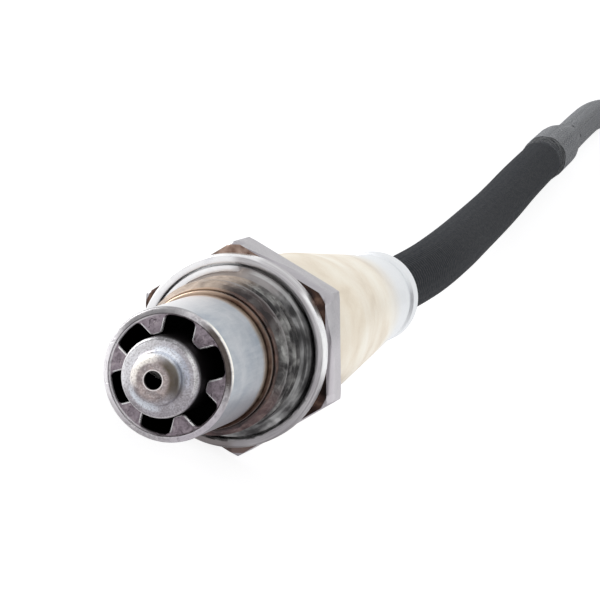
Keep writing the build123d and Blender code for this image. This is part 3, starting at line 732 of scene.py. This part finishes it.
def finish_seal():
    """Seal ring: polished; paste in the slit and over the inner hump, the slit sooty and in painted shade,
    clean at one side; painted shade also beside the slit on the right, towards the bottom and in duller
    sectors.
    """
    f = Finish("seal_steel")
    r = f.radius()
    cloud = f.noise(0.5, 3, 0.6, 0.5)
    smear = f.noise(0.5, 4, 0.55, 0.5)
    drawn = f.noise(1.0, 3, 0.55, vector=f.round_place(1.5, 2.0, 6.0))
    clean = f.span(f.math("ADD", f.towards(168), f.both(r, -0.1)), -0.45, -0.41)
    wiped = f.either(f.either(clean, f.side(326, 0.82, 0.95)), f.side(122, 0.9, 0.98))
    # duller steel with painted shade in sectors on the right and at the top
    dulled_and_shaded = f.either(f.both(f.side(28, -0.02, 0.12), f.until(r, 11.05, 11.3)), f.side(84, 0.93, 0.98))
    dulled_and_shaded = f.either(dulled_and_shaded, f.side(-6, 0.88, 0.96))

    metal = f.ramp(cloud, [(0.3, 0.87, 0.87, 0.88), (0.65, 0.96, 0.96, 0.96)])
    # painted shade towards the bottom
    metal = f.mix(f.side(285, 0.88, 0.97, 0.8), metal, (0.42, 0.38, 0.37))
    # painted shade on the outer edge at the lower right
    under = f.both(f.side(315, 0.78, 0.95, 0.7), f.span(r, 11.0, 11.3))
    metal = f.mix(under, metal, (0.38, 0.36, 0.36))
    metal = f.mix(f.both(dulled_and_shaded, f.span(drawn, 0.35, 0.6, 0.95, 0.6)), metal, (0.7, 0.69, 0.7))
    reach = f.scaled(smear, 1.4, seal_slit_r - 0.35)
    covered = f.span(f.math("SUBTRACT", reach, r), -0.1, 0.3)
    paste = f.both(covered, f.math("SUBTRACT", 1.0, clean))
    body = f.mix(paste, metal, grime(f))

    # the slit is dark with soot and painted shade, lighter where wiped; painted shade beside it on the
    # right
    slit = f.band(r, seal_slit_r - 0.12, seal_slit_r + 0.12, 0.05)
    depth = f.scaled(wiped, -0.65, f.span(smear, 0.35, 0.6, 0.9, 0.5), clamp=True)
    sunk = f.both(f.band(r, seal_slit_r - 0.25, seal_slit_r + 0.2, 0.15), f.side(20, 0.85, 0.97, 0.75))
    soot_and_shade = f.either(f.both(slit, depth), sunk)
    f.put("Base Color", f.mix(soot_and_shade, body, (0.12, 0.12, 0.12)))
    f.put("Metallic", f.scaled(paste, -0.7, 1.0))
    polish = f.span(cloud, 0.3, 0.7, 0.26, 0.34)
    f.put("Roughness", f.scaled(f.either(paste, dulled_and_shaded), 0.25, polish))
    humps = f.either(f.band(r, seal_slit_r + 0.2, 11.1, 0.1), f.band(r, 9.4, seal_slit_r - 0.2, 0.1))
    drawn_marks = f.bump(f.noise(3.0, 3, vector=f.round_place(6.0, 2.0, 3.0)), 0.003,
                         f.flattened(f.both(humps, wiped, 0.85)))
    f.put("Normal", f.bump(f.both(f.noise(1.6, 4, 0.55), paste), 0.12, drawn_marks))


def finish_sleeve():
    """Sleeve: pale straw satin, a little tan in streaks, with painted shade in tan near the hexagon,
    whiter at the neck.
    """
    f = Finish("sleeve_steel", Metallic=1.0)
    _, y, _ = f.parts()
    cloud = f.noise(0.12, 3, 0.5, 0.3)
    body = f.ramp(cloud, [(0.34, 0.84, 0.79, 0.71), (0.47, 0.9, 0.86, 0.79), (0.66, 0.94, 0.92, 0.87)])
    drawn = f.noise(1.0, 3, 0.6, vector=f.round_place(9.0, 0.2))
    body = f.mix(f.span(drawn, 0.5, 0.75, 0.0, 0.08), body, (0.82, 0.76, 0.67))
    # painted shade: tan near the hexagon
    tan = f.span(y, sleeve_front_y + 4.0, sleeve_front_y + 14.0, 0.5, 0.0)
    body = f.mix(tan, body, (0.83, 0.78, 0.7))
    neck = f.span(y, sleeve_rear_y - 22.0, sleeve_rear_y - 9.0)
    f.put("Base Color", f.mix(neck, body, (0.89, 0.9, 0.91)))
    f.put("Roughness", f.span(f.noise(3.0, 4, 0.6), 0.3, 0.7, 0.34, 0.46))
    f.put("Normal", f.bump(f.noise(8.0, 3, 0.6, vector=f.round_place(70.0, 2.0, 2.0)), 0.008))


def finish_hose():
    """Hose: black glass-fibre weave with a rubbery coat, rubbed grey on top by the braid."""
    f = Finish("hose_black", IOR=1.24)
    grain = f.noise(2.5, 4, 0.65)
    _, y, z = f.parts()
    body = f.ramp(grain, [(0.3, 0.06, 0.075, 0.1), (0.7, 0.11, 0.125, 0.15)])
    wandering = f.scaled(f.noise(0.5), 5.0, y)
    rubbed = f.both(f.span(wandering, 264.0, 272.0, 0.0, 0.8), f.span(z, -7.0, -4.5))
    f.put("Base Color", f.mix(rubbed, body, (0.4, 0.41, 0.43)))
    f.put("Roughness", f.span(grain, 0.3, 0.7, 0.6, 0.8))
    f.put("Normal", f.bump(f.noise(8.0, 3, 0.6), 0.02))


threads_each_strand = 6


def finish_braid():
    """Braid: grey yarn, each strand a flat bundle of threads along its length."""
    f = Finish("braid_grey")
    across = f.parts(f.surface_map)[0]
    threads = f.math("SINE", f.both(across, 2 * pi * threads_each_strand))
    fuzz = f.noise(3.0, 4, 0.7)
    f.put("Base Color", f.ramp(f.scaled(threads, 0.12, fuzz), [
        (0.25, 0.3, 0.31, 0.33), (0.5, 0.47, 0.48, 0.5), (0.75, 0.6, 0.61, 0.63)]))
    f.put("Roughness", f.span(fuzz, 0.3, 0.7, 0.6, 0.8))
    f.put("Sheen Weight", 0.25)
    f.put("Normal", f.bump(threads, 0.05, f.bump(fuzz, 0.04)))


def finish_moulded(name, dark, light, roughness, grain=0.015, scale=6.0):
    """Moulded plastic, rubber or fired ceramic: fine grain and a slow change of shade."""
    f = Finish(name)
    cloud = f.noise(0.3, 3, 0.6)
    fine = f.noise(scale, 4, 0.6)
    f.put("Base Color", f.ramp(cloud, [(0.3, *dark), (0.7, *light)]))
    f.put("Roughness", f.span(fine, 0.3, 0.7, roughness - 0.07, roughness + 0.07))
    f.put("Normal", f.bump(fine, grain))


def finish_sheet(name, dark, light, roughness):
    """Plain stamped metal: rolled streaks and a slow change of shade."""
    f = Finish(name, Metallic=1.0)
    cloud = f.noise(0.4, 3, 0.6)
    rolled = f.noise(4.0, 3, 0.6, vector=f.stretched((3.0, 0.3, 3.0)))
    f.put("Base Color", f.ramp(cloud, [(0.3, *dark), (0.7, *light)]))
    f.put("Roughness", f.span(rolled, 0.3, 0.7, roughness - 0.06, roughness + 0.06))
    f.put("Normal", f.bump(rolled, 0.005))


finish_tube()
finish_nose()
finish_housing()
finish_paste()
finish_seal()
finish_sleeve()
finish_sheet("spring_steel", (0.62, 0.62, 0.64), (0.75, 0.75, 0.77), 0.3)
finish_sheet("contact_alloy", (0.7, 0.68, 0.62), (0.8, 0.78, 0.72), 0.28)
finish_moulded("element_ceramic", (0.88, 0.87, 0.84), (0.94, 0.93, 0.91), 0.5)
finish_moulded("bushing_ceramic", (0.86, 0.84, 0.78), (0.93, 0.91, 0.87), 0.6)
finish_moulded("talc", (0.78, 0.77, 0.74), (0.87, 0.86, 0.84), 0.85, 0.03)
finish_moulded("grommet_rubber", (0.16, 0.16, 0.17), (0.22, 0.22, 0.23), 0.6)
finish_moulded("wire_insulation", (0.8, 0.8, 0.78), (0.88, 0.88, 0.86), 0.4, 0.005)
finish_hose()
finish_braid()
finish_moulded("connector_black", (0.1, 0.1, 0.11), (0.15, 0.15, 0.16), 0.42)
finish_sheet("terminal_tin", (0.76, 0.76, 0.76), (0.86, 0.86, 0.85), 0.28)
finish_moulded("lock_plastic", (0.3, 0.42, 0.55), (0.38, 0.5, 0.63), 0.4)
finish_moulded("seal_silicone", (0.68, 0.33, 0.2), (0.78, 0.43, 0.28), 0.5)

for node in nodes.values():
    for holder in node.material_slots:
        holder.material = finishes[holder.material.name]


# -------- threaded housing
thread_pitch = 1.5
thread_depth = 0.85
crest_share, flank_share = 1 / 16, 3 / 8
run_out_length = 0.8
paste_low, paste_high = 8.3, 8.92
paste_fullness, paste_lumps = 0.62, 0.9
thread_around = 288
thread_step = 0.1
near = 0.01


def thread_r(turn, y):
    """Radius of the thread, lead-in cone and paste at an angle and a station, in millimetres."""
    phase = (y / thread_pitch - turn / (2 * pi)) % 1.0
    from_crest = min(phase, 1.0 - phase)
    deep = clamped((from_crest - crest_share) / (flank_share - crest_share))
    run_out = clamped((y + run_out_length) / run_out_length)
    groove = thread_major_r - thread_depth * deep * (1 - run_out)
    lump = noise.fractal(Vector((cos(turn) * 4.2, y * 0.8, sin(turn) * 4.2)), 1.0, 2.1, 4)
    fill = paste_low + (paste_high - paste_low) * clamped(paste_fullness + paste_lumps * lump)
    return min(thread_major_r, pilot_r + y - pilot_rear_y, max(groove, fill))


def cut_out(mesh, doomed):
    """Deletes the faces for which doomed is true."""
    work = bmesh.new()
    work.from_mesh(mesh)
    faces = [face for face in work.faces if doomed(face)]
    bmesh.ops.delete(work, geom=faces, context="FACES")
    work.to_mesh(mesh)
    work.free()


def in_thread(face):
    """True for the faces of the plain cylinder and cone that the thread takes the place of."""
    places = [vertex.co / MM for vertex in face.verts]
    along = [place.y for place in places]
    outside = min(hypot(place.x, place.z) for place in places) > pilot_r - near
    between_ends = min(along) > pilot_rear_y - near and max(along) < near
    return outside and between_ends and max(along) - min(along) > near


def join_meshes(first, second):
    """Adds the second mesh to the first and joins the points that meet."""
    work = bmesh.new()
    work.from_mesh(first)
    work.from_mesh(second)
    bmesh.ops.remove_doubles(work, verts=work.verts, dist=0.004 * MM)
    work.to_mesh(first)
    work.free()
    bpy.data.meshes.remove(second)


def threaded_housing():
    """The CAD housing with its plain cylinder cut out, and a thread in that place."""
    body = nodes["housing"].data.copy()
    body.name = "threaded_housing"
    cut_out(body, in_thread)
    steps = round(-pilot_rear_y / thread_step)
    rows = []
    for row in range(steps + 1):
        y = pilot_rear_y * (1 - row / steps)
        rows.append([
            Vector((cos(turn), 0, sin(turn))) * thread_r(turn, y) * MM + Vector((0, y * MM, 0))
            for turn in (-2 * pi * step / thread_around for step in range(thread_around))
        ])
    join_meshes(body, grid_mesh("thread", rows))
    body.shade_smooth()
    body.set_sharp_from_angle(angle=0.6)
    body.materials.clear()
    new_piece("threaded_housing", body, "housing_steel", "housing")


threaded_housing()


# -------- paste before the seal ring
# each section is a curve of three points, of radius and station: one on the thread, one over the
# gap and one on the ring; where the ring is clean, the last two stay down in the gap
paste_around, paste_across = 240, 12
paste_unevenness = 0.14
thread_end = (8.9, -0.95)
clean_points = ((9.15, -0.3), (9.42, 0.2))
pasted_points = ((9.3, -0.12), (10.0, -0.03))
clean_turn, clean_half, fading = radians(168), radians(53), radians(7)


def paste_point(turn, share):
    """Point of the paste at a turn about the axis, at a share of the way from thread to ring."""
    from_clean = abs((turn - clean_turn + pi) % (2 * pi) - pi) - clean_half
    amount = eased(from_clean / fading)
    over_gap, on_ring = (
        [low + (high - low) * amount for low, high in zip(clean, pasted)]
        for clean, pasted in zip(clean_points, pasted_points)
    )
    r, y = (
        (1 - share) ** 2 * first + 2 * share * (1 - share) * second + share ** 2 * third
        for first, second, third in zip(thread_end, over_gap, on_ring)
    )
    lump = noise.fractal(Vector((cos(turn) * 5, sin(turn) * 5, share * 1.2)), 1.0, 2.1, 3)
    return Vector((cos(turn) * r, y + paste_unevenness * share * lump, sin(turn) * r)) * MM


def seal_paste():
    """Thread paste squeezed out from the thread over the gap before the seal ring."""
    rows = [
        [paste_point(turn, row / paste_across) for turn in full_turn(paste_around)]
        for row in range(paste_across + 1)
    ]
    new_piece("seal_paste", grid_mesh("seal_paste", rows), "housing_steel", finish="thread_paste")


seal_paste()


# -------- lead
hose_d = 7.8 * MM
braid_d = 6.2 * MM
braid_cover = 0.35 * MM
braid_z = floor_z + 0.1 * MM + braid_d / 2

# the same points as the CAD routes
hose_route = [
    (0.0, 65.0, 0.0),
    (-0.4, 86.4, 0.4),
    (-3.2, 115.4, -0.5),
    (-8.4, 153.4, -3.9),
    (-14.1, 198.4, -6.3),
    (-19.8, 241.4, -7.15),
    (-23.0, 270.4, -7.15),
]
hose_line = points_of(smooth_line("hose_line", [Vector(point) * MM for point in hose_route]))

braid_route = [
    (-27.4, 310.16, -8.2),
    (-30.25, 334.5, -8.2),
    (-32.8, 360.0, -8.2),
    (-31.0, 385.0, -8.2),
    (-31.0, 407.0, -8.2),
]
coil_centre = Vector((0.0, 431.0)) * MM
coil_r = 31.0 * MM
coil_turns = 1.5
coil_steps = 16
climb_start, climb_end = 270, 340
last_bend = 8 * MM
lead_out_y = 405.0 * MM


def coil_points():
    """Control points of the turns, clockwise seen from above, one layer up after the climb."""
    outside = coil_r / cos(pi / coil_steps)
    found = []
    for step in range(int(coil_turns * coil_steps)):
        turn = 360 * (step + 0.5) / coil_steps
        share = clamped((turn - climb_start) / (climb_end - climb_start))
        angle = radians(turn)
        found.append(Vector((
            coil_centre.x - outside * cos(angle),
            coil_centre.y + outside * sin(angle),
            braid_z + braid_d * share,
        )))
    return found


braid_points = [Vector(point) * MM for point in braid_route] + coil_points() + [
    Vector((coil_r, coil_centre.y - last_bend, braid_z + braid_d)),
    Vector((coil_r, lead_out_y, braid_z + braid_d)),
]
braid_line = points_of(smooth_line("braid_line", braid_points))


def around_line(points, around, reach):
    """Rings of points about a line; reach gives the radius at a distance and an angle."""
    return [
        [place + (side * cos(turn) + up * sin(turn)) * reach(distance, turn) for turn in full_turn(around)]
        for place, side, up, distance in stations(points)
    ]


# hose: woven sleeving under a thin black coat
weave_around = 20
weave_length = 1.2 * MM
weave_depth = 0.035 * MM


def hose_reach(distance, turn):
    """Radius of the hose with its weave, never more than the hose's own."""
    weave = cos(2 * pi * distance / weave_length) - cos(weave_around * turn)
    return hose_d / 2 - 2 * weave_depth + weave_depth * weave


hose_points = evenly(hose_line, 0.27 * MM)
hose = new_piece("hose_sleeve", grid_mesh("hose_sleeve", around_line(hose_points, 100, hose_reach)),
                 "hose_black", "cable_hose")

# braid: strands in two hands, each over and under those of the other hand
strands_each_way = 8
braid_pitch = 22.0 * MM
strand_width = 1.7 * MM
strand_rise = 0.14 * MM
strand_crown = 0.13 * MM
core_gap = 0.5 * MM
core_around = 24
across_places = (-1.0, -0.55, 0.0, 0.55, 1.0)


def braid_mesh(name, points, reach, width):
    """Braid along a line: reach and width give its radius and strand width at a distance.

    The map holds the place across each strand (0 to 1) and along it; the core inside has -1.
    """
    ways = stations(points)
    corners, faces, marks = [], [], []
    for hand in (-1, 1):
        for strand in range(strands_each_way):
            faces += strip_faces(len(ways), len(across_places), base=len(corners))
            for place, side, up, distance in ways:
                turned = 2 * pi * distance / braid_pitch
                wave = hand * cos(strands_each_way * turned) * strand_rise
                middle = reach(distance) - strand_crown - strand_rise + wave
                turn = 2 * pi * strand / strands_each_way + hand * turned
                slope = atan2(2 * pi * middle, braid_pitch)
                half = width(distance) / 2 / cos(slope) / middle
                for share in across_places:
                    angle = turn + share * half
                    radius = middle + strand_crown * (1 - share * share)
                    corners.append(place + (side * cos(angle) + up * sin(angle)) * radius)
                    marks.append(((share + 1) / 2, distance / MM))
    faces += strip_faces(len(ways), core_around, closed=True, base=len(corners))
    for place, side, up, distance in ways:
        radius = reach(distance) - core_gap
        for angle in full_turn(core_around):
            corners.append(place + (side * cos(angle) + up * sin(angle)) * radius)
            marks.append((-1.0, distance / MM))
    return mapped_mesh(name, corners, faces, marks)


lead_points = evenly(braid_line, 0.55 * MM)
lead = new_piece("braided_lead",
                 braid_mesh("braided_lead", lead_points, lambda distance: braid_d / 2,
                            lambda distance: strand_width),
                 "braid_grey", "braided_cable", "cable_coil")

# spread end of the braid over the hose
spread_start = Vector(hose_route[-1]) * MM
spread_heading = (spread_start - Vector(hose_route[-2]) * MM).normalized()
spread_wide = 18.0 * MM
strand_widening = 0.35
spread_end = Vector(braid_route[0]) * MM
spread_wide_end = spread_start + spread_heading * spread_wide
spread_wide_r = hose_d / 2 + braid_cover


def spread_reach(distance):
    """Radius of the spread end: over the hose first, then narrowing to the braid's own."""
    share = eased((distance - spread_wide) / (spread_end - spread_wide_end).length)
    return spread_wide_r + (braid_d / 2 - spread_wide_r) * share


def spread_width(distance):
    """Width of a strand, a little more where the braid is spread."""
    return strand_width * (1 + strand_widening * (spread_reach(distance) / (braid_d / 2) - 1))


spread_line = [spread_start, spread_wide_end, spread_end]
spread = new_piece("spread_braid",
                   braid_mesh("spread_braid", evenly(spread_line, 0.4 * MM), spread_reach, spread_width),
                   "braid_grey", "braid_end")

# loose yarn ends of the braid, lying forward on the hose
yarn_width = 0.42 * MM
yarn_rise = 0.07 * MM
yarn_lift = 0.2 * MM
yarn_shortest, yarn_longest = 2.0 * MM, 8.0 * MM
yarn_spacing = 0.1
yarn_wander = 0.3
yarn_taper = 0.75
yarn_tuck = 0.3 * MM
yarn_clearance = 0.01 * MM
yarns_each_strand = 4
yarn_steps = 6
golden = (5 ** 0.5 - 1) / 2


def fray_mesh():
    """Tapering ribbons on the hose's surface, of uneven length, in the braid's two hands."""
    _, side, up, _ = stations(evenly(spread_line, 0.4 * MM))[0]
    corners, faces, marks = [], [], []
    for number in range(2 * strands_each_way * yarns_each_strand):
        strand, yarn = divmod(number, yarns_each_strand)
        hand = -1 if strand < strands_each_way else 1
        wild = number * golden % 1
        length = yarn_shortest + (yarn_longest - yarn_shortest) * wild
        start = 2 * pi * strand / strands_each_way + yarn_spacing * (yarn - (yarns_each_strand - 1) / 2)
        faces += strip_faces(yarn_steps + 1, 3, base=len(corners))
        for step in range(yarn_steps + 1):
            share = step / yarn_steps
            back = length * share - yarn_tuck
            middle = start - hand * 2 * pi * back / braid_pitch + yarn_wander * (wild - 0.5) * share
            half = yarn_width / 2 * (1 - yarn_taper * share) / (hose_d / 2)
            for across in (-1, 0, 1):
                angle = middle + across * half
                radius = hose_d / 2 + yarn_clearance + yarn_rise * (1 - abs(across))
                radius += yarn_lift * (1 - share) ** 3
                corners.append(spread_start - spread_heading * back
                               + (side * cos(angle) + up * sin(angle)) * radius)
                marks.append(((across + 1) / 2, back / MM))
    return mapped_mesh("braid_fray", corners, faces, marks)


fray = new_piece("braid_fray", fray_mesh(), "braid_grey")

# ties round the doubled part of the coil
tie_turns = (40, 140)
tie_width = 3.0 * MM
tie_thickness = 0.9 * MM
tie_power_out, tie_power_up = 0.8, 0.55
tie_around = 48


def on_floor(point):
    """The point, raised to the floor if it lies below."""
    return Vector((point.x, point.y, max(point.z, floor_z + 0.02 * MM)))


def tie_mesh(name, turn):
    """Band round the two layers of the coil, squarer than an ellipse, with bevelled edges."""
    angle = radians(turn)
    outward = Vector((-cos(angle), sin(angle), 0))
    forward = Vector((sin(angle), cos(angle), 0))
    middle = Vector((coil_centre.x, coil_centre.y, braid_z + braid_d / 2)) + outward * coil_r
    loop = [
        (copysign(abs(cos(turned)) ** tie_power_out, cos(turned)),
         copysign(abs(sin(turned)) ** tie_power_up, sin(turned)))
        for turned in full_turn(tie_around)
    ]
    rows = []
    for along, out in ((-0.5, 0.0), (-0.42, 1.0), (0.42, 1.0), (0.5, 0.0)):
        half_width = braid_d / 2 + tie_thickness * out
        half_height = braid_d + tie_thickness * out
        rows.append([
            on_floor(middle + outward * x * half_width + Vector((0, 0, z * half_height))
                     + forward * along * tie_width)
            for x, z in loop
        ])
    return grid_mesh(name, rows)


ties = [
    new_piece("coil_tie_%d" % number, tie_mesh("coil_tie_%d" % number, turn), "connector_black")
    for number, turn in enumerate(tie_turns, 1)
]
